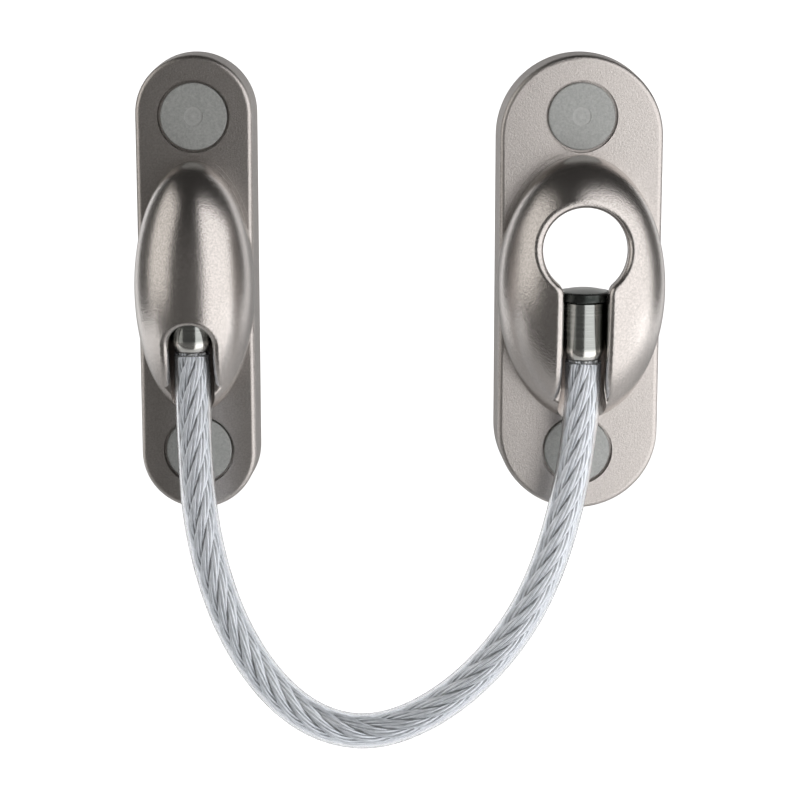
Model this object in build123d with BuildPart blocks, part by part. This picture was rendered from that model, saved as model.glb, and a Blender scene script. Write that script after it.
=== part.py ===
"""Window restrictor cable: two die-cast housings joined by a sheathed wire rope.

Millimetres. The origin is the centre of the catch housing on the wall plane. +Z is up, -Y points
away from the wall towards the room, and the fixed housing stands at -X.
"""
from build123d import *
from math import radians, tan
import os

# Housings
PLATE_HEIGHT = 72.4
PLATE_DEPTH = 7.0
PLATE_DRAFT = 3.0  # degrees, the plate narrows towards the room
PLATE_EDGE = 0.8  # rounding of the front edge
PLATE_WALL = 2.0
PLATE_FRONT_WALL = 2.8
CATCH_WIDTH = 26.0
FIXED_WIDTH = 18.8
FIXED_X = -60.0

# Domes: half axes along X and Z, and height above the plate
CATCH_DOME = (12.95, 20.6)
FIXED_DOME = (9.2, 19.7)
DOME_HEIGHT = 12.8
DOME_FOOT = 3.0  # upright part of that height, below the rounded part
DOME_WALL = 2.6
STEP_WIDTH = 0.6  # the thin step round the dome's foot
STEP_HEIGHT = 0.35

# Screw places, screws and the covers over them
SCREW_Z = 26.4
RECESS_DIAMETER = 11.2
RECESS_DEPTH = 1.4
COUNTERBORE_DIAMETER = 8.6
COUNTERBORE_DEPTH = 2.5
HOLE_DIAMETER = 4.6
BOSS_DIAMETER = 12.4
SCREW_DIAMETER = 4.2
SHANK_DIAMETER = 3.6  # plain, from the head to the wall plane
SCREW_LENGTH = 16.0  # under the head
SCREW_POINT = 3.0
SCREW_TIP = 0.2  # radius
HEAD_DIAMETER = 7.6
HEAD_HEIGHT = 2.2
HEAD_EDGE = 0.9
DRIVE_LENGTH = 4.2
DRIVE_WIDTH = 0.9
DRIVE_DEPTH = 1.3
CAP_DIAMETER = 10.4
CAP_SET_BACK = 0.2  # behind the plate's front
CAP_EDGE = 0.25
CAP_SPIGOT_LENGTH = 1.6
CAP_SPIGOT_DIAMETER = 8.5
CAP_SPIGOT_WALL = 0.3
CAP_MARK_DIAMETER = 2.9
CAP_MARK_DEPTH = 0.12

# Cable ends, and the bores, slot and openings that take them
AXIS_Y = -14.6  # of the cable where it enters both housings
CATCH_SEAT = -1.0  # height of the shoulder under the catch's washer
FIXED_SEAT = 0.2
CHANNEL_WIDTH = 6.7
CHANNEL_BACK_WALL = 2.0
POCKET_DIAMETER = 8.5  # above the seats, round the washers
FIXED_POCKET_HEIGHT = 3.0
RELEASE_DIAMETER = 12.9
RELEASE_Z = 6.8
RELEASE_BLEND = 2.0  # radius between the release hole and the slot
CATCH_OPENING_EDGE = 0.9
SLOT_FLARE_TOP = -14.5
SLOT_FLARE = 1.15  # each side, at the slot's lower end, so that the raised cable clears it
SLOT_FLARE_BLEND = 30.0
ARCH_TOP = -4.3
FIXED_OPENING_EDGE = 0.8
WASHER_DIAMETER = 8.0
WASHER_THICKNESS = 1.35
WASHER_BORE = 4.7
WASHER_EDGE = 0.12
FERRULE_DIAMETER = 6.2
FERRULE_BODY = 7.25  # straight length below the washer
FERRULE_EDGE = 0.3
FERRULE_NOSE = 1.9  # rounded length below the body
FERRULE_NOSE_BULGE = 0.15
FERRULE_END_DIAMETER = 4.9
FERRULE_SPIGOT = 4.6
FERRULE_HEAD_DIAMETER = 7.0
FERRULE_HEAD_HEIGHT = 0.45
FERRULE_BORE_TOP = 1.8  # below the seat, where the rope's bore ends
RUNNING_GAP = 0.05

# Cable
SHEATH_DIAMETER = 5.5
ROPE_DIAMETER = 4.7
CORE_DIAMETER = 1.6
SLIP = 0.02  # radial gap between the core, the strands, the sheath and the ferrules
BARE_ROPE = 0.3  # between each ferrule and the sheath
ARC_SHARE = 0.45  # of the shorter run, taken by each arc

# Heights and depths that follow
PLATE_FRONT = -PLATE_DEPTH
RECESS_FLOOR = PLATE_FRONT + RECESS_DEPTH
HEAD_SEAT = RECESS_FLOOR + COUNTERBORE_DEPTH
CRADLE_BACK = AXIS_Y + CHANNEL_WIDTH / 2 + CHANNEL_BACK_WALL
FRONT_INSET = PLATE_DEPTH * tan(radians(PLATE_DRAFT)) + PLATE_EDGE
FERRULE_LENGTH = FERRULE_BODY + FERRULE_NOSE
FIXED_ROPE_TOP = FIXED_SEAT - FERRULE_BORE_TOP - RUNNING_GAP
CATCH_ROPE_TOP = CATCH_SEAT - FERRULE_BORE_TOP - RUNNING_GAP
FIXED_SHEATH_TOP = FIXED_SEAT - FERRULE_LENGTH - BARE_ROPE
CATCH_SHEATH_TOP = CATCH_SEAT - FERRULE_LENGTH - BARE_ROPE

# The cable's corners (X, Z) between its two ends, from the fixed housing to the catch
ROUTE = [
    (FIXED_X, -22.6),
    (-59.1, -37.4),
    (-55.5, -51.1),
    (-49.6, -61.8),
    (-42.3, -68.5),
    (-33.8, -70.8),
    (-25.3, -68.3),
    (-16.9, -62.3),
    (-9.4, -53.2),
    (-4.6, -42.7),
    (-1.6, -30.6),
    (-0.35, -21.2),
    (0.0, -15.3),
]


def wall_plane(x, z, y=0.0):
    """A plane parallel to the wall at depth y, facing the room, with X right and Z up."""
    return Plane(origin=(x, y, z), x_dir=(1, 0, 0), z_dir=(0, -1, 0))


def level_plane(x, z):
    """A level plane centred on a cable end's axis, facing up."""
    return Plane(origin=(x, AXIS_Y, z), x_dir=(1, 0, 0), z_dir=(0, 0, 1))


def dome_solid(x, half_width, half_height, height):
    """Half an ellipsoid on an upright foot that stands on the plate's front."""
    brow = PLATE_FRONT - DOME_FOOT
    size = (half_width, height - DOME_FOOT, half_height)
    whole = Pos(x, brow, 0) * scale(Sphere(1), by=size)
    room_side = Pos(x, brow - PLATE_HEIGHT / 2, 0) * Box(*[PLATE_HEIGHT] * 3)
    foot = extrude(wall_plane(x, 0, PLATE_FRONT) * Ellipse(half_width, half_height), amount=DOME_FOOT)
    return (whole & room_side) + foot


def opening_edges(part):
    """The front edges of a dome's opening: the curved ones clear of its upright foot."""
    clear = part.edges().filter_by(lambda edge: edge.center().Y < PLATE_FRONT - DOME_FOOT - 1)
    return clear.filter_by(GeomType.BSPLINE)


def casting(x, width, dome, seat, pocket_height, pierced_dome):
    """A housing round its pierced dome: plate, step, hollow back, cradle and screw places."""
    half_width, half_height = dome
    inner = (half_width - DOME_WALL, half_height - DOME_WALL)
    inner_dome = dome_solid(x, *inner, DOME_HEIGHT - DOME_WALL)
    cradle_corner = Pos(x, CRADLE_BACK - PLATE_HEIGHT / 2, seat - PLATE_HEIGHT / 2)
    cradle = cradle_corner * Box(*[PLATE_HEIGHT] * 3)
    places = [(0, SCREW_Z), (0, -SCREW_Z)]
    with BuildPart() as hollow:
        with BuildSketch(wall_plane(x, 0)):
            SlotOverall(PLATE_HEIGHT - 2 * PLATE_WALL, width - 2 * PLATE_WALL, rotation=90)
            with Locations(*places):
                Circle(BOSS_DIAMETER / 2, mode=Mode.SUBTRACT)
        extrude(amount=PLATE_DEPTH - PLATE_FRONT_WALL)
        add(inner_dome)
        with BuildSketch(wall_plane(x, 0)):
            Ellipse(*inner)
        extrude(amount=PLATE_DEPTH)
        add(cradle, mode=Mode.SUBTRACT)
    with BuildPart() as whole:
        with BuildSketch(wall_plane(x, 0)):
            SlotOverall(PLATE_HEIGHT, width, rotation=90)
        extrude(amount=PLATE_DEPTH, taper=PLATE_DRAFT)
        fillet(whole.faces().sort_by(Axis.Y)[0].edges(), radius=PLATE_EDGE)
        with BuildSketch(wall_plane(x, 0, PLATE_FRONT)):
            Ellipse(half_width + STEP_WIDTH, half_height + STEP_WIDTH)
            front_size = (PLATE_HEIGHT - 2 * FRONT_INSET, width - 2 * FRONT_INSET)
            SlotOverall(*front_size, rotation=90, mode=Mode.INTERSECT)
        extrude(amount=STEP_HEIGHT)
        # the dome's foot runs through the plate to the wall
        with BuildSketch(wall_plane(x, 0)):
            Ellipse(half_width, half_height)
        extrude(amount=PLATE_DEPTH)
        add(pierced_dome)
        add(hollow.part, mode=Mode.SUBTRACT)
        # recess for the cap, counterbore for the screw's head, and its hole
        proud = STEP_HEIGHT + 1
        with BuildSketch(wall_plane(x, 0, PLATE_FRONT - proud)):
            with Locations(*places):
                Circle(RECESS_DIAMETER / 2)
        extrude(amount=-RECESS_DEPTH - proud, mode=Mode.SUBTRACT)
        with BuildSketch(wall_plane(x, 0, RECESS_FLOOR)):
            with Locations(*places):
                Circle(COUNTERBORE_DIAMETER / 2)
        extrude(amount=-COUNTERBORE_DEPTH, mode=Mode.SUBTRACT)
        with BuildSketch(wall_plane(x, 0)):
            with Locations(*places):
                Circle(HOLE_DIAMETER / 2)
        extrude(amount=PLATE_DEPTH, mode=Mode.SUBTRACT)
        # pocket for the washer above the seat, and the ferrule's bore down through the foot
        with BuildSketch(level_plane(x, seat)):
            Circle(POCKET_DIAMETER / 2)
        extrude(amount=pocket_height, mode=Mode.SUBTRACT)
        with BuildSketch(level_plane(x, seat)):
            Circle(CHANNEL_WIDTH / 2)
        extrude(amount=-half_height, mode=Mode.SUBTRACT)
    return whole.part


def washer(x, seat):
    """The loose washer that stands on the seat and takes the cable's pull."""
    with BuildPart() as ring:
        with BuildSketch(level_plane(x, seat)):
            Circle(WASHER_DIAMETER / 2)
            Circle(WASHER_BORE / 2, mode=Mode.SUBTRACT)
        extrude(amount=WASHER_THICKNESS)
        chamfer(ring.edges().sort_by(SortBy.LENGTH)[-2:], length=WASHER_EDGE)
    return ring.part


def ferrule(x, seat):
    """A swaged cable end: riveted head over the washer, straight body and rounded nose."""
    head_radius = FERRULE_HEAD_DIAMETER / 2
    spigot_radius = FERRULE_SPIGOT / 2
    radius = FERRULE_DIAMETER / 2
    bore_radius = ROPE_DIAMETER / 2 + SLIP
    head_foot = WASHER_THICKNESS + RUNNING_GAP
    head_top = head_foot + FERRULE_HEAD_HEIGHT
    end_radius = FERRULE_END_DIAMETER / 2
    nose_middle = (radius - FERRULE_NOSE_BULGE, -FERRULE_BODY - FERRULE_NOSE * 0.55)
    with BuildPart() as end:
        with BuildSketch(Plane(origin=(x, AXIS_Y, seat), x_dir=(1, 0, 0), z_dir=(0, -1, 0))):
            with BuildLine():
                head_middle = (head_radius * 0.6, head_foot + FERRULE_HEAD_HEIGHT * 0.72)
                ThreePointArc((0, head_top), head_middle, (head_radius, head_foot))
                Polyline(
                    (head_radius, head_foot),
                    (spigot_radius, head_foot),
                    (spigot_radius, -RUNNING_GAP),
                    (radius - FERRULE_EDGE, -RUNNING_GAP),
                    (radius, -RUNNING_GAP - FERRULE_EDGE),
                    (radius, -FERRULE_BODY),
                )
                ThreePointArc((radius, -FERRULE_BODY), nose_middle, (end_radius, -FERRULE_LENGTH))
                Polyline(
                    (end_radius, -FERRULE_LENGTH),
                    (bore_radius, -FERRULE_LENGTH),
                    (bore_radius, -FERRULE_BORE_TOP),
                    (0, -FERRULE_BORE_TOP),
                    (0, head_top),
                )
            make_face()
        revolve(axis=Axis((x, AXIS_Y, seat), (0, 0, 1)))
    return end.part


def screw(x, z):
    """A pan-head screw with a cross recess; its thread starts at the wall plane."""
    shank_radius = SHANK_DIAMETER / 2
    radius = SCREW_DIAMETER / 2
    with BuildPart() as fixing:
        with BuildSketch(Plane(origin=(x, HEAD_SEAT, z), x_dir=(1, 0, 0), z_dir=(0, 0, 1))):
            Polygon(
                (0, -HEAD_HEIGHT),
                (HEAD_DIAMETER / 2, -HEAD_HEIGHT),
                (HEAD_DIAMETER / 2, 0),
                (shank_radius, 0),
                (shank_radius, -HEAD_SEAT),
                (radius, -HEAD_SEAT),
                (radius, SCREW_LENGTH - SCREW_POINT),
                (SCREW_TIP, SCREW_LENGTH),
                (0, SCREW_LENGTH),
                align=None,
            )
        revolve(axis=Axis((x, HEAD_SEAT, z), (0, 1, 0)))
        head_rim = fixing.edges().filter_by(GeomType.CIRCLE).sort_by(Axis.Y)[0]
        fillet(head_rim, radius=HEAD_EDGE)
        with BuildSketch(wall_plane(x, z, HEAD_SEAT - HEAD_HEIGHT)):
            Rectangle(DRIVE_LENGTH, DRIVE_WIDTH)
            Rectangle(DRIVE_WIDTH, DRIVE_LENGTH)
        extrude(amount=-DRIVE_DEPTH, mode=Mode.SUBTRACT)
    return fixing.part


def cap(x, z):
    """A plastic cover with a thin-walled spigot that grips the counterbore."""
    front = PLATE_FRONT + CAP_SET_BACK
    back = RECESS_FLOOR - RUNNING_GAP
    spigot_radius = CAP_SPIGOT_DIAMETER / 2
    with BuildPart() as cover:
        with BuildSketch(wall_plane(x, z, back)):
            Circle(CAP_DIAMETER / 2)
        extrude(amount=back - front)
        fillet(cover.edges().filter_by(GeomType.CIRCLE).sort_by(Axis.Y)[0], radius=CAP_EDGE)
        with BuildSketch(wall_plane(x, z, back)):
            Circle(spigot_radius)
            Circle(spigot_radius - CAP_SPIGOT_WALL, mode=Mode.SUBTRACT)
        extrude(amount=-CAP_SPIGOT_LENGTH)
        with BuildSketch(wall_plane(x, z, front)):
            Circle(CAP_MARK_DIAMETER / 2)
        extrude(amount=-CAP_MARK_DEPTH, mode=Mode.SUBTRACT)
    return cover.part


def route_radii():
    """The radius at each corner: the largest arc that its two runs allow."""
    points = [Vector(FIXED_X, FIXED_SHEATH_TOP)]
    points += [Vector(*corner) for corner in ROUTE]
    points += [Vector(0, CATCH_SHEATH_TOP)]
    runs = [end - start for start, end in zip(points, points[1:])]
    radii = []
    for before, after in zip(runs, runs[1:]):
        half_turn = radians(before.get_angle(after)) / 2
        radii.append(ARC_SHARE * min(before.length, after.length) / tan(half_turn))
    return radii


def cable_tube(inner_diameter, outer_diameter, fixed_top, catch_top):
    """A tube along the cable's route between the given heights of its two ends."""
    corners = [(FIXED_X, fixed_top), *ROUTE, (0, catch_top)]
    with BuildPart() as tube:
        with BuildLine(wall_plane(0, 0, AXIS_Y)) as path:
            FilletPolyline(*corners, radius=route_radii())
        with BuildSketch(Plane(origin=(FIXED_X, AXIS_Y, fixed_top), z_dir=(0, 0, -1))):
            Circle(outer_diameter / 2)
            if inner_diameter:
                Circle(inner_diameter / 2, mode=Mode.SUBTRACT)
        sweep(path=path.wires()[0])
    section = (outer_diameter**2 - inner_diameter**2) * 3.14159 / 4
    length = path.wires()[0].length
    print(f"tube {outer_diameter}: length {length:.1f}, volume {tube.part.volume:.1f}")
    print(f"  section times length {section * length:.1f}")
    return tube.part


def keep(name, part):
    """Label a finished piece and write its STEP file."""
    part.label = name
    export_step(part, f"parts/{name}.step")


os.makedirs("parts", exist_ok=True)
room = DOME_HEIGHT + PLATE_DEPTH

# Catch dome: the release hole, and the slot that runs down from it
catch_ellipsoid = dome_solid(0, *CATCH_DOME, DOME_HEIGHT)
with BuildPart() as catch_dome:
    add(catch_ellipsoid)
    with BuildSketch(wall_plane(0, RELEASE_Z)):
        Circle(RELEASE_DIAMETER / 2)
    extrude(amount=room, mode=Mode.SUBTRACT)
    slot_top = RELEASE_Z - RELEASE_DIAMETER / 4
    slot_bottom = -CATCH_DOME[1] - 1
    with BuildSketch(wall_plane(0, 0, AXIS_Y)) as keyhole:
        with Locations((0, RELEASE_Z)):
            Circle(RELEASE_DIAMETER / 2)
        with Locations((0, (slot_top + slot_bottom) / 2)):
            Rectangle(CHANNEL_WIDTH, slot_top - slot_bottom)
        half, flared = CHANNEL_WIDTH / 2, CHANNEL_WIDTH / 2 + SLOT_FLARE
        flare_corners = [(-half, SLOT_FLARE_TOP), (half, SLOT_FLARE_TOP)]
        flare_corners += [(flared, slot_bottom), (-flared, slot_bottom)]
        Polygon(*flare_corners, align=None)
        on_flare = keyhole.vertices().filter_by(lambda v: abs(v.Y - SLOT_FLARE_TOP) < 0.01)
        fillet(on_flare, radius=SLOT_FLARE_BLEND)
        on_slot = keyhole.vertices().filter_by(lambda v: abs(abs(v.X) - half) < 0.01)
        fillet(on_slot.filter_by(lambda v: v.Y > CATCH_SEAT), radius=RELEASE_BLEND)
    extrude(amount=room, mode=Mode.SUBTRACT)
    fillet(opening_edges(catch_dome), radius=CATCH_OPENING_EDGE)
catch_size = (0, CATCH_WIDTH, CATCH_DOME)
catch_housing = casting(*catch_size, CATCH_SEAT, RELEASE_Z - CATCH_SEAT, catch_dome.part)
# the bore behind the slot flares with it, a little narrower
flare_height = SLOT_FLARE_TOP - slot_bottom
flare_cone = Cone(flared - 0.1, half - 0.1, flare_height)
catch_housing -= Pos(0, AXIS_Y, SLOT_FLARE_TOP - flare_height / 2) * flare_cone

# Fixed dome: an arched opening from which the cable leaves
fixed_ellipsoid = dome_solid(FIXED_X, *FIXED_DOME, DOME_HEIGHT)
with BuildPart() as fixed_dome:
    add(fixed_ellipsoid)
    arch_centre = ARCH_TOP - CHANNEL_WIDTH / 2
    arch_bottom = -FIXED_DOME[1] - 1
    with BuildSketch(wall_plane(FIXED_X, 0, AXIS_Y)):
        with Locations((0, arch_centre)):
            Circle(CHANNEL_WIDTH / 2)
        with Locations((0, (arch_centre + arch_bottom) / 2)):
            Rectangle(CHANNEL_WIDTH, arch_centre - arch_bottom)
    extrude(amount=room, mode=Mode.SUBTRACT)
    fillet(opening_edges(fixed_dome), radius=FIXED_OPENING_EDGE)
fixed_size = (FIXED_X, FIXED_WIDTH, FIXED_DOME)
fixed_housing = casting(*fixed_size, FIXED_SEAT, FIXED_POCKET_HEIGHT, fixed_dome.part)

keep("catch_housing", catch_housing)
keep("fixed_housing", fixed_housing)

for side, x, seat in (("catch", 0.0, CATCH_SEAT), ("fixed", FIXED_X, FIXED_SEAT)):
    keep(f"{side}_washer", washer(x, seat))
    keep(f"{side}_ferrule", ferrule(x, seat))
    for end, z in (("top", SCREW_Z), ("bottom", -SCREW_Z)):
        keep(f"{side}_screw_{end}", screw(x, z))
        keep(f"{side}_cap_{end}", cap(x, z))

print("radii", [round(radius, 1) for radius in route_radii()])
keep("rope_core", cable_tube(0, CORE_DIAMETER, FIXED_ROPE_TOP, CATCH_ROPE_TOP))
strands_bore = CORE_DIAMETER + 2 * SLIP
keep("rope_strands", cable_tube(strands_bore, ROPE_DIAMETER, FIXED_ROPE_TOP, CATCH_ROPE_TOP))
sheath_bore = ROPE_DIAMETER + 2 * SLIP
keep("cable_sheath", cable_tube(sheath_bore, SHEATH_DIAMETER, FIXED_SHEATH_TOP, CATCH_SHEATH_TOP))
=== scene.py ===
"""Looks of the window restrictor cable: satin nickel housings and a wire rope in a clear sheath.

Metres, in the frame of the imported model: +Z up, -Y towards the room, the catch housing at X = 0.
"""

from math import cos, pi, radians, sin, tau

import bpy
import numpy as np
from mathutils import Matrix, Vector


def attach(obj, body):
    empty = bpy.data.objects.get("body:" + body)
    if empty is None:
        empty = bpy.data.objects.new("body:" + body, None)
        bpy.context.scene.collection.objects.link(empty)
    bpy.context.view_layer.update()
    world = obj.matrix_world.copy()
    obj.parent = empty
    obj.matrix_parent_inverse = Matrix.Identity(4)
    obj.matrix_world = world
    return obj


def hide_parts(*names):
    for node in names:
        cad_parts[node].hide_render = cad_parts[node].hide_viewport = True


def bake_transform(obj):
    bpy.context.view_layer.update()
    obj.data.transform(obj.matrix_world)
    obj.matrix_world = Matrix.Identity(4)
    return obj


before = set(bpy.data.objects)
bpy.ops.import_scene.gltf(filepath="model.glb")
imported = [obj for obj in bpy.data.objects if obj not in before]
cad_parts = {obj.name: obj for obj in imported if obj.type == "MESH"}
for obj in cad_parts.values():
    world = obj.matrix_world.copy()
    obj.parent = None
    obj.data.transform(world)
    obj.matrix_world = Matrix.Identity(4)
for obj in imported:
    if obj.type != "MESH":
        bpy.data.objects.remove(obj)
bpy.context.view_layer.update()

# Camera, a little above the object and looking slightly down
CAMERA_PLACE = Vector((-0.0281, -0.307, 0.0448))
CAMERA_PITCH = radians(9.5)  # below the horizon
CAMERA_SHIFT = -0.1  # keeps the plates' sides nearly upright
LENS_MM = 87.2
NEAREST_SEEN = 0.01

# The cable's route, from the fixed housing to the catch, in the plane of its two ends
CABLE_Y = -0.0146
ROUTE = [  # X and Z
    (-0.0600, -0.00925),
    (-0.0600, -0.0226),
    (-0.0591, -0.0374),
    (-0.0555, -0.0511),
    (-0.0496, -0.0618),
    (-0.0423, -0.0685),
    (-0.0338, -0.0708),
    (-0.0253, -0.0683),
    (-0.0169, -0.0623),
    (-0.0094, -0.0532),
    (-0.0046, -0.0427),
    (-0.0016, -0.0306),
    (-0.00035, -0.0212),
    (0.0, -0.0153),
    (0.0, -0.01045),
]
ROUTE_ORDER, ROUTE_RESOLUTION = 3, 24  # of the spline that it guides

# Rope: six strands round a core, each of six wires round one
SHEATH_RADIUS = 0.00275
SHEATH_BORE = 0.00237  # radius
STRANDS = 6
WIRES = 6
STRAND_CIRCLE = 0.00155  # radius of the circle that the strands' middles lie on
WIRE_RADIUS = 0.000238
WIRE_CIRCLE = 0.000475  # the same for the outer wires of a strand
ROPE_LAY = 0.0265  # length of one turn of a strand round the rope
STRAND_LAY = 0.0105  # length of one turn of a wire round its strand
ROPE_IN_FERRULE = 0.0060
ROPE_STEPS = 520
SHEATH_STEPS = 300
SHEATH_SIDES = 64
OUTER_WIRE_SIDES, INNER_WIRE_SIDES = 10, 6

# Screws and their threads
SCREW_PLACES = {"catch": 0.0, "fixed": -0.060}  # X
SCREW_HEIGHTS = {"top": 0.0264, "bottom": -0.0264}  # Z
THREAD_RADIUS = 0.0021  # of the thread's crest, and of the plain shank
THREAD_ROOT = 0.0015
THREAD_PITCH = 0.0014
THREAD_START, THREAD_TAPER, THREAD_END = 0.0003, 0.0099, 0.0127  # depths in the wall
THREAD_SINK = 0.0001  # how deep the ridge's foot lies in the shank
THREAD_FLANK = 0.36  # half the ridge's foot, in pitches
THREAD_AT_POINT = 0.35  # the share of the ridge's height that is left at the screw's point
THREAD_STEPS = 28  # in a turn
WALL_FACE_Y = -0.00001  # just in front of the wall
SHANK_SKIN = 0.9  # the share of the shank's radius past which a point is on its skin
SHARP_EDGE = radians(35)

# Places in the materials
DOME_FOOT_Y = -0.0074  # where the domes leave the plates
DOME_FOOT_BLEND = 0.0004
CAP_MARK_SHARE = 0.14  # the gate mark's radius as a share of the cap's width
NOSE_HIGHLIGHT_SHARES = (0.13, 0.18)  # heights in the ferrule, between which the highlight painted pale on its nose ends

# Studio: a white sheet that hangs at the back and bends forward into the floor
SHEET_FLOOR_Z, SHEET_TOP_Z = -0.16, 1.0
SHEET_FRONT_Y, SHEET_WALL_Y = -0.12, 0.55
SHEET_BEND = 0.25
SHEET_BEND_STEPS = 12
SHEET_HALF_WIDTH = 0.60
SHEET_GLOW, SHEET_SIDE_GLOW, FLOOR_GLOW = 0.08, 0.95, 0.12  # how bright it is in reflections
SIDE_GLOW_FROM, SIDE_GLOW_FULL = 0.25, 0.45  # distances from the middle
FLOOR_GLOW_HEIGHT = 0.1
ROOM_GLOW, CEILING_GLOW = 0.12, 0.04
CEILING_FROM, CEILING_FULL = 0.1, 0.6  # upward parts of the direction looked in
SHEET_THROUGH_SHEATH, ROOM_THROUGH_SHEATH = 0.66, 0.50  # both, seen through the clear sheath


def link(name, data):
    """A new object in the scene."""
    made = bpy.data.objects.new(name, data)
    bpy.context.scene.collection.objects.link(made)
    return made


def make_camera():
    """The camera, shifted so that it needs less tilt."""
    data = bpy.data.cameras.new("camera")
    data.lens = LENS_MM
    data.shift_y = CAMERA_SHIFT
    data.clip_start = NEAREST_SEEN
    camera = link("camera", data)
    camera.location = CAMERA_PLACE
    camera.rotation_euler = (pi / 2 - CAMERA_PITCH, 0, 0)
    bpy.context.scene.camera = camera


# ---- cable ----


def cable_line():
    """Points of the smooth line that the route guides, read from its NURBS spline."""
    curve = bpy.data.curves.new("cable_route", "CURVE")
    curve.dimensions = "3D"
    curve.resolution_u = ROUTE_RESOLUTION
    spline = curve.splines.new("NURBS")
    spline.points.add(len(ROUTE) - 1)
    for point, (x, z) in zip(spline.points, ROUTE):
        point.co = (x, CABLE_Y, z, 1)
    spline.order_u = ROUTE_ORDER
    spline.use_endpoint_u = True
    guide = link("cable_route", curve)
    mesh = bpy.data.meshes.new_from_object(guide)
    points = np.array([v.co for v in mesh.vertices])
    bpy.data.objects.remove(guide)
    bpy.data.curves.remove(curve)
    bpy.data.meshes.remove(mesh)
    return points


def evenly(points, count):
    """The same line as count points at even distances."""
    steps = np.linalg.norm(np.diff(points, axis=0), axis=1)
    along = np.concatenate([[0], np.cumsum(steps)])
    places = np.linspace(0, along[-1], count)
    return np.stack([np.interp(places, along, points[:, k]) for k in range(3)], axis=1), places


def unit(vectors):
    """The vectors at length 1."""
    return vectors / np.linalg.norm(vectors, axis=1)[:, None]


def across(points):
    """Two directions across a line that lies in a plane of constant Y, for a right-hand lay."""
    tangent = unit(np.gradient(points, axis=0))
    side = unit(np.cross(tangent, (0, 1, 0)))
    return side, np.cross(tangent, side)


def wound(points, side, front, radius, angle):
    """A line wound round another one at that radius, and its outward direction."""
    outward = np.cos(angle)[:, None] * side + np.sin(angle)[:, None] * front
    return points + radius * outward, outward


def tube_rings(points, outward, radius, sides):
    """Rings of points round a line, turned with its outward direction."""
    tangent = unit(np.gradient(points, axis=0))
    out = unit(outward - tangent * np.sum(outward * tangent, axis=1)[:, None])
    beside = np.cross(tangent, out)
    turns = np.arange(sides) * tau / sides
    ring = np.cos(turns)[None, :, None] * out[:, None] + np.sin(turns)[None, :, None] * beside[:, None]
    return points[:, None] + radius * ring


def ring_faces(steps, sides, first=0):
    """Faces of a tube whose points are steps rings of sides points, with both ends closed."""
    faces = []
    for i in range(steps - 1):
        for j in range(sides):
            k = (j + 1) % sides
            a, b = first + i * sides, first + (i + 1) * sides
            faces.append((a + j, a + k, b + k, b + j))
    faces.append(tuple(first + j for j in reversed(range(sides))))
    last = first + (steps - 1) * sides
    faces.append(tuple(last + j for j in range(sides)))
    return faces


def mesh_piece(name, points, faces):
    """A smooth-shaded object made of those points and faces."""
    mesh = bpy.data.meshes.new(name)
    mesh.from_pydata(points.tolist(), [], faces)
    mesh.validate()
    mesh.update()
    mesh.shade_smooth()
    return link(name, mesh)


def bundle(name, lines, steps):
    """One mesh of many wires, each line being (points, outward direction, radius, sides)."""
    points, faces = [], []
    for line, outward, radius, sides in lines:
        first = sum(len(p) for p in points)
        points.append(tube_rings(line, outward, radius, sides).reshape(-1, 3))
        faces += ring_faces(steps, sides, first)
    return mesh_piece(name, np.concatenate(points), faces)


def rope_line(line):
    """The cable's line, run straight on into both ferrules."""
    start = line[0] + (0, 0, ROPE_IN_FERRULE)
    end = line[-1] + (0, 0, ROPE_IN_FERRULE)
    return evenly(np.concatenate([[start], line, [end]]), ROPE_STEPS)


def strand(points, side, front, along, radius, angle, wire_sides):
    """The wires of one strand wound round the rope's line."""
    middle, outward = wound(points, side, front, radius, angle + tau * along / ROPE_LAY)
    lines = [(middle, outward, WIRE_RADIUS, INNER_WIRE_SIDES)]
    beside = np.cross(unit(np.gradient(middle, axis=0)), outward)
    for k in range(WIRES):
        # the wires are laid the other way, so that they run nearly along the rope
        turn = k * tau / WIRES - tau * along / STRAND_LAY
        wire, away = wound(middle, outward, beside, WIRE_CIRCLE, turn)
        lines.append((wire, away, WIRE_RADIUS, wire_sides))
    return lines


def make_rope(line):
    """The rope's outer strands and its core strand."""
    points, along = rope_line(line)
    side, front = across(points)
    outer = []
    for k in range(STRANDS):
        outer += strand(points, side, front, along, STRAND_CIRCLE, k * tau / STRANDS, OUTER_WIRE_SIDES)
    inner = strand(points, side, front, along, 0, 0, INNER_WIRE_SIDES)
    return bundle("outer_strands", outer, ROPE_STEPS), bundle("core_strand", inner, ROPE_STEPS)


def make_sheath(line):
    """A clear tube with an inner and an outer wall, closed by a ring at each end."""
    points, along = evenly(line, SHEATH_STEPS)
    side, _ = across(points)
    outer = tube_rings(points, side, SHEATH_RADIUS, SHEATH_SIDES).reshape(-1, 3)
    inner = tube_rings(points, side, SHEATH_BORE, SHEATH_SIDES).reshape(-1, 3)
    count = len(outer)
    faces = ring_faces(SHEATH_STEPS, SHEATH_SIDES)[:-2]  # without the two closed ends
    faces += [tuple(count + k for k in reversed(face)) for face in faces]
    for first, flip in ((0, True), ((SHEATH_STEPS - 1) * SHEATH_SIDES, False)):
        for j in range(SHEATH_SIDES):
            k = (j + 1) % SHEATH_SIDES
            face = (first + j, first + k, count + first + k, count + first + j)
            faces.append(face[::-1] if flip else face)
    return mesh_piece("clear_sheath", np.concatenate([outer, inner]), faces)


# ---- screws ----


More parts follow.
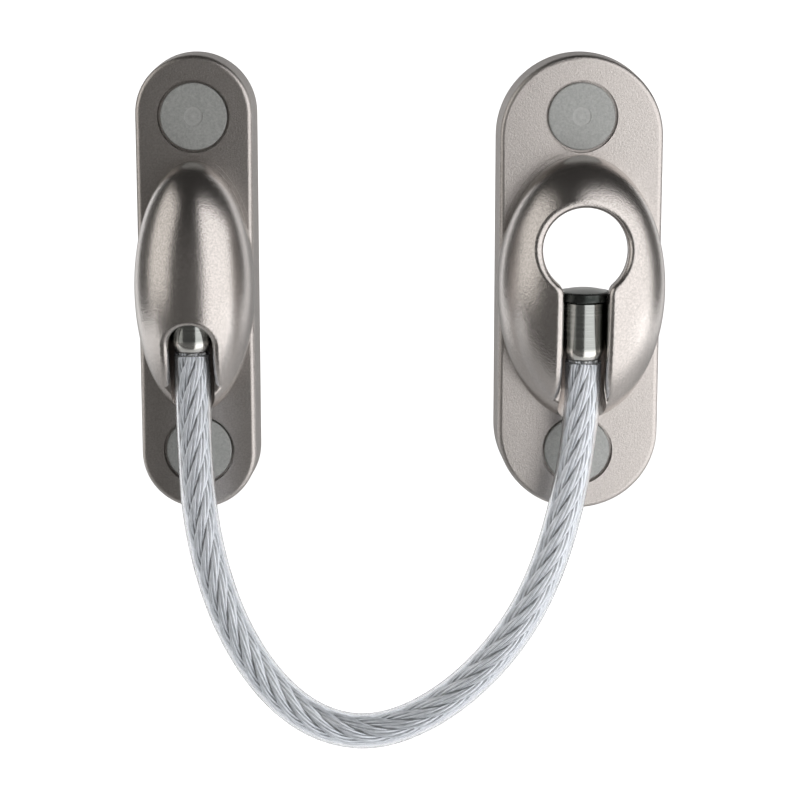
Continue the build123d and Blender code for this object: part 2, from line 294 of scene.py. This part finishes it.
def thread_ridge(x, z):
    """Three-sided rings of a ridge that is wound round the line along Y at that place."""
    depth = np.arange(THREAD_START, THREAD_END, THREAD_PITCH / THREAD_STEPS)
    turn = tau * depth / THREAD_PITCH
    out = np.stack([np.cos(turn), 0 * turn, np.sin(turn)], axis=1)
    axis = np.stack([x + 0 * depth, depth, z + 0 * depth], axis=1)
    run_in = np.clip((depth - THREAD_START) / THREAD_PITCH, 0, 1)
    taper = np.clip((THREAD_END - depth) / (THREAD_END - THREAD_TAPER), 0, 1)
    share = np.minimum(run_in, THREAD_AT_POINT + (1 - THREAD_AT_POINT) * taper)
    root = THREAD_SINK + (THREAD_ROOT - 2 * THREAD_SINK) * taper
    crest = root + THREAD_SINK + (THREAD_RADIUS - THREAD_ROOT) * share
    foot, tip = axis + out * root[:, None], axis + out * crest[:, None]
    flank = np.array((0, THREAD_PITCH * THREAD_FLANK, 0))
    return np.stack([foot - flank, tip, foot + flank], axis=1)


def threaded_screw(name, node, x, z):
    """The screw's own shape with its shank thinned to the root and a thread wound on it."""
    points = np.array([node.matrix_world @ v.co for v in node.data.vertices])
    faces = [tuple(face.vertices) for face in node.data.polygons]
    from_axis = points[:, (0, 2)] - (x, z)
    on_skin = np.linalg.norm(from_axis, axis=1) > SHANK_SKIN * THREAD_RADIUS
    from_axis[on_skin & (points[:, 1] > WALL_FACE_Y)] *= THREAD_ROOT / THREAD_RADIUS
    points[:, (0, 2)] = from_axis + (x, z)
    ridge = thread_ridge(x, z)
    faces += ring_faces(len(ridge), 3, len(points))
    screw = mesh_piece(name, np.concatenate([points, ridge.reshape(-1, 3)]), faces)
    screw.data.set_sharp_from_angle(angle=SHARP_EDGE)
    return screw


# ---- materials ----


class Nodes:
    """A node tree, with short ways to add the nodes used here. A value is a number or a socket."""

    def __init__(self, owner):
        owner.use_nodes = True
        self.tree = owner.node_tree
        self.tree.nodes.clear()

    def add(self, kind, **settings):
        """A new node, with its own settings."""
        node = self.tree.nodes.new(kind)
        for name, value in settings.items():
            setattr(node, name, value)
        return node

    def give(self, value, socket):
        """Joins another node's socket to this one, or sets this one to a constant."""
        if isinstance(value, bpy.types.NodeSocket):
            self.tree.links.new(value, socket)
        else:
            socket.default_value = value

    def math(self, operation, *values):
        """A sum on one or two values."""
        node = self.add("ShaderNodeMath", operation=operation)
        for value, socket in zip(values, node.inputs):
            self.give(value, socket)
        return node.outputs[0]

    def range(self, factor, low, high, first, second):
        """A number that runs from first to second as factor goes from low to high."""
        node = self.add("ShaderNodeMapRange")
        for name, value in zip(("From Min", "From Max", "To Min", "To Max"), (low, high, first, second)):
            self.give(value, node.inputs[name])
        self.give(factor, node.inputs["Value"])
        return node.outputs["Result"]

    def axes(self, vector):
        """The X, Y and Z sockets of a vector."""
        node = self.add("ShaderNodeSeparateXYZ")
        self.give(vector, node.inputs[0])
        return node.outputs

    def in_box(self):
        """The place in a piece's own box, from 0 to 1 on each axis, or the direction in a world."""
        return self.axes(self.add("ShaderNodeTexCoord").outputs["Generated"])

    def mix(self, factor, first, second):
        """The first shader where factor is 0 and the second where it is 1."""
        node = self.add("ShaderNodeMixShader")
        for value, socket in zip((factor, first, second), node.inputs):
            self.give(value, socket)
        return node.outputs[0]


class Material(Nodes):
    """A material with one main shader, and its textures laid out in the object's own metres."""

    def __init__(self, name):
        self.material = bpy.data.materials.new(name)
        super().__init__(self.material)
        self.output = self.add("ShaderNodeOutputMaterial")
        self.shader = self.add("ShaderNodeBsdfPrincipled")
        self.give(self.shader.outputs[0], self.output.inputs["Surface"])
        self.place = self.add("ShaderNodeTexCoord").outputs["Object"]

    def set(self, **values):
        """Values for the main shader's sockets; underscores stand for spaces."""
        for name, value in values.items():
            self.give(value, self.shader.inputs[name.replace("_", " ")])

    def noise(self, scale, detail=2.0, roughness=0.5, place=None):
        """Noise with that many waves in a metre, or so."""
        node = self.add("ShaderNodeTexNoise")
        node.inputs["Scale"].default_value = scale
        node.inputs["Detail"].default_value = detail
        node.inputs["Roughness"].default_value = roughness
        self.give(place or self.place, node.inputs["Vector"])
        return node.outputs["Fac"]

    def ramp(self, factor, low, high, first, second):
        """A colour that runs from first to second as factor goes from low to high."""
        node = self.add("ShaderNodeValToRGB")
        stops = node.color_ramp.elements
        stops[0].position, stops[1].position = low, high
        stops[0].color, stops[1].color = (*first, 1), (*second, 1)
        self.give(factor, node.inputs["Fac"])
        return node.outputs["Color"]

    def tint(self, factor, colour, tinted):
        """The colour socket, turned towards the plain colour tinted as factor goes to 1."""
        node = self.add("ShaderNodeMixRGB")
        self.give(factor, node.inputs["Fac"])
        self.give(colour, node.inputs["Color1"])
        self.give((*tinted, 1), node.inputs["Color2"])
        return node.outputs[0]

    def bump(self, height, strength, distance, under=None):
        """A bumpy normal, on top of another one where under is given."""
        node = self.add("ShaderNodeBump")
        self.give(strength, node.inputs["Strength"])
        self.give(distance, node.inputs["Distance"])
        self.give(height, node.inputs["Height"])
        if under:
            self.give(under, node.inputs["Normal"])
        return node.outputs["Normal"]

    def stretched(self, x, y, z):
        """The place with its axes scaled, so that noise on it becomes streaks."""
        node = self.add("ShaderNodeMapping")
        self.give((x, y, z), node.inputs["Scale"])
        self.give(self.place, node.inputs["Vector"])
        return node.outputs["Vector"]


def satin_nickel():
    """Nickel plate on a zinc casting: coarse and matt on the plate, finer and smoother on the dome."""
    m = Material("satin_nickel")
    on_plate = m.range(m.axes(m.place)["Y"], DOME_FOOT_Y - DOME_FOOT_BLEND, DOME_FOOT_Y, 0.0, 1.0)
    grain = m.noise(3300, 3, 0.65)
    waves = m.bump(m.noise(260, 2), 0.08, 0.0002)
    fine = m.bump(grain, 0.35, 0.00008, waves)
    coarse = m.bump(m.noise(4600, 4, 0.7), m.range(on_plate, 0, 1, 0.10, 0.55), 0.00008, fine)
    m.set(
        Metallic=1.0,
        Base_Color=m.ramp(grain, 0.36, 0.64, (0.53, 0.50, 0.48), (0.65, 0.615, 0.595)),
        Roughness=m.range(on_plate, 0, 1, 0.25, 0.31),
        Normal=coarse,
    )
    return m.material


def cap_plastic():
    """Matt moulded plastic with a fine spark-eroded texture, pale flecks, and a highlight painted pale
    on the gate mark's dimple.
    """
    m = Material("cap_plastic")
    flecks = m.noise(3000, 4, 0.7)
    body = m.ramp(flecks, 0.35, 0.70, (0.38, 0.395, 0.39), (0.54, 0.555, 0.545))
    # painted highlight: the gate mark's dimple is painted pale in the middle and in a ring round it, for
    # the light that its rim catches
    box = m.in_box()
    aside, up = (m.math("SUBTRACT", box[axis], 0.5) for axis in ("X", "Z"))
    radius = m.math("SQRT", m.math("ADD", m.math("MULTIPLY", aside, aside), m.math("MULTIPLY", up, up)))
    ring = m.math("PINGPONG", radius, CAP_MARK_SHARE / 2)
    on_mark = m.math("LESS_THAN", radius, CAP_MARK_SHARE)
    mark_highlight = m.math("MULTIPLY", on_mark, m.range(ring, 0.0, CAP_MARK_SHARE / 2, 0.55, 0.05))
    m.set(
        Base_Color=m.tint(mark_highlight, body, (0.66, 0.67, 0.665)),
        Roughness=m.range(flecks, 0.3, 0.7, 0.40, 0.55),
        Normal=m.bump(m.noise(3600, 3), 0.22, 0.00006),
    )
    return m.material


def dark_ferrule():
    """Dark polished plate with faint turning marks, and a highlight painted pale on the rounded nose."""
    m = Material("dark_ferrule")
    marks = m.noise(60, 3, place=m.stretched(1, 1, 60))
    body = m.ramp(marks, 0.3, 0.7, (0.30, 0.315, 0.305), (0.42, 0.44, 0.425))
    # painted highlight: the rounded nose is painted pale for the light that it catches
    nose_highlight = m.range(m.in_box()["Z"], *NOSE_HIGHLIGHT_SHARES, 1.0, 0.0)
    m.set(
        Metallic=1.0,
        Coat_Weight=1.0,
        Coat_Roughness=0.06,
        Coat_IOR=1.5,
        Base_Color=m.tint(nose_highlight, body, (0.80, 0.80, 0.77)),
        Roughness=m.range(marks, 0.3, 0.7, 0.14, 0.24),
        Normal=m.bump(marks, 0.12, 0.00003),
    )
    return m.material


def mottled_metal(name, mottle_scale, detail, dark, light, roughness, bump_scale, strength):
    """Metal whose colour and roughness vary together, under a finer bump."""
    m = Material(name)
    mottle = m.noise(mottle_scale, detail)
    m.set(
        Metallic=1.0,
        Base_Color=m.ramp(mottle, 0.35, 0.65, dark, light),
        Roughness=m.range(mottle, 0.3, 0.7, *roughness),
        Normal=m.bump(m.noise(bump_scale, 2), strength, 0.00003),
    )
    return m.material


def painted_shade_washer():
    """Near-black metal, a little uneven: painted shade, for the shade that the washer lies in at the top
    of the slot.
    """
    dark, light = (0.035, 0.04, 0.038), (0.075, 0.08, 0.078)
    return mottled_metal("painted_shade_washer", 900, 4, dark, light, (0.22, 0.34), 2600, 0.12)


def screw_steel():
    """Zinc-plated screw steel, a little uneven."""
    dark, light = (0.55, 0.56, 0.58), (0.68, 0.69, 0.70)
    return mottled_metal("screw_steel", 700, 4, dark, light, (0.22, 0.36), 3000, 0.10)


def wire_steel():
    """Bright galvanised wire with a slightly dull, uneven skin."""
    dark, light = (0.62, 0.635, 0.65), (0.78, 0.79, 0.805)
    return mottled_metal("wire_steel", 900, 3, dark, light, (0.28, 0.42), 5000, 0.15)


def clear_plastic():
    """Clear soft PVC, glossy and faintly wavy, that lets the lamps through to the wires."""
    m = Material("clear_plastic")
    m.set(
        Base_Color=(0.90, 0.92, 0.95, 1),
        Transmission_Weight=0.95,
        IOR=1.45,
        Roughness=m.range(m.noise(300, 3), 0.35, 0.7, 0.02, 0.08),
        Normal=m.bump(m.noise(220, 2), 0.12, 0.0002),
    )
    shadow = m.add("ShaderNodeBsdfTransparent")
    shadow.inputs["Color"].default_value = (0.93, 0.95, 0.97, 1)
    for_lamps = m.add("ShaderNodeLightPath").outputs["Is Shadow Ray"]
    m.give(m.mix(for_lamps, m.shader.outputs[0], shadow.outputs[0]), m.output.inputs["Surface"])
    return m.material


def backdrop_paper():
    """White to the camera; in reflections dim in the middle and bright at the sides."""
    m = Material("backdrop_paper")
    axes = m.axes(m.place)
    aside = m.math("ABSOLUTE", axes["X"])
    sides = m.range(aside, SIDE_GLOW_FROM, SIDE_GLOW_FULL, SHEET_GLOW, SHEET_SIDE_GLOW)
    floor = m.range(axes["Z"], SHEET_FLOOR_Z, SHEET_FLOOR_Z + FLOOR_GLOW_HEIGHT, FLOOR_GLOW, 0)
    path = m.add("ShaderNodeLightPath").outputs
    through = m.range(path["Is Transmission Ray"], 0, 1, 0, SHEET_THROUGH_SHEATH)
    seen = m.math("MAXIMUM", path["Is Camera Ray"], through)
    m.set(
        Base_Color=m.ramp(m.noise(40, 3), 0.4, 0.6, (0.78, 0.78, 0.78), (0.80, 0.80, 0.80)),
        Roughness=0.9,
        Emission_Color=(1, 1, 1, 1),
        Emission_Strength=m.math("MAXIMUM", m.math("MAXIMUM", sides, floor), seen),
    )
    return m.material


def dress(obj, material):
    """Gives an object that material and no other."""
    obj.data.materials.clear()
    obj.data.materials.append(material)


# ---- stage and lights ----


def make_stage():
    """A white sheet that hangs behind the object and bends forward into the floor."""
    profile = [(SHEET_FRONT_Y, SHEET_FLOOR_Z)]
    for k in range(SHEET_BEND_STEPS + 1):
        turn = radians(90 * k / SHEET_BEND_STEPS)
        y = SHEET_WALL_Y - SHEET_BEND + SHEET_BEND * sin(turn)
        profile.append((y, SHEET_FLOOR_Z + SHEET_BEND - SHEET_BEND * cos(turn)))
    profile.append((SHEET_WALL_Y, SHEET_TOP_Z))
    points = [(x, y, z) for y, z in profile for x in (-SHEET_HALF_WIDTH, SHEET_HALF_WIDTH)]
    faces = [(2 * k, 2 * k + 1, 2 * k + 3, 2 * k + 2) for k in range(len(profile) - 1)]
    sheet = mesh_piece("backdrop", np.array(points), faces)
    dress(sheet, backdrop_paper())


def softbox(name, place, facing, width, height, brightness, colour):
    """A rectangular lamp that shines along the direction that it faces."""
    data = bpy.data.lights.new(name, "AREA")
    data.shape = "RECTANGLE"
    data.size, data.size_y = width, height
    data.energy = brightness * pi * width * height
    data.color = colour
    lamp = link(name, data)
    lamp.location = place
    lamp.rotation_euler = (-Vector(facing)).to_track_quat("Z", "Y").to_euler()
    lamp.visible_camera = False


def make_lights():
    """The key lamp close by on the right, and a dimmer one high on the left."""
    softbox(
        "key",
        place=(0.200, -0.058, -0.045),
        facing=(-0.38, 0.925, 0),
        width=0.43,
        height=0.40,
        brightness=1.35,
        colour=(1.0, 0.985, 0.975),
    )
    softbox(
        "side",
        place=(-0.476, -0.172, 0.144),
        facing=(0.446, 0.162, -0.154),
        width=0.44,
        height=0.52,
        brightness=0.90,
        colour=(1.0, 0.97, 0.92),
    )


def make_world():
    """White where the camera looks past the sheet, and a dim room with a dark ceiling otherwise."""
    world = bpy.data.worlds.new("room")
    bpy.context.scene.world = world
    w = Nodes(world)
    room, white = (w.add("ShaderNodeBackground") for _ in range(2))
    room.inputs["Color"].default_value = (1.0, 0.97, 0.93, 1)
    white.inputs["Color"].default_value = (1, 1, 1, 1)
    glow = w.range(w.in_box()["Z"], CEILING_FROM, CEILING_FULL, ROOM_GLOW, CEILING_GLOW)
    path = w.add("ShaderNodeLightPath").outputs
    strength = w.range(path["Is Transmission Ray"], 0, 1, glow, ROOM_THROUGH_SHEATH)
    w.give(strength, room.inputs["Strength"])
    seen = w.mix(path["Is Camera Ray"], room.outputs[0], white.outputs[0])
    w.give(seen, w.add("ShaderNodeOutputWorld").inputs["Surface"])


# ---- the object ----

make_camera()
line = cable_line()
strands, core = make_rope(line)
sheath = make_sheath(line)

wire, clear, zinc = wire_steel(), clear_plastic(), screw_steel()
FINISHES = {
    "housing": satin_nickel(),
    "cap": cap_plastic(),
    "washer": painted_shade_washer(),
    "ferrule": dark_ferrule(),
}

for piece, material, slot, node in (
    (strands, wire, "wire_steel", "rope_strands"),
    (core, wire, "wire_steel", "rope_core"),
    (sheath, clear, "clear_sheath", "cable_sheath"),
):
    dress(piece, material)
    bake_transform(piece)
    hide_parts(node)

for name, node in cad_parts.items():
    for word, material in FINISHES.items():
        if word in name:
            dress(node, material)

for side, x in SCREW_PLACES.items():
    for end, z in SCREW_HEIGHTS.items():
        name = f"{side}_screw_{end}"
        screw = threaded_screw(f"threaded_{name}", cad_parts[name], x, z)
        dress(screw, zinc)
        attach(screw, f"{side}_base")
        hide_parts(name)

make_stage()
make_lights()
make_world()
bpy.context.scene.view_settings.view_transform = "Standard"
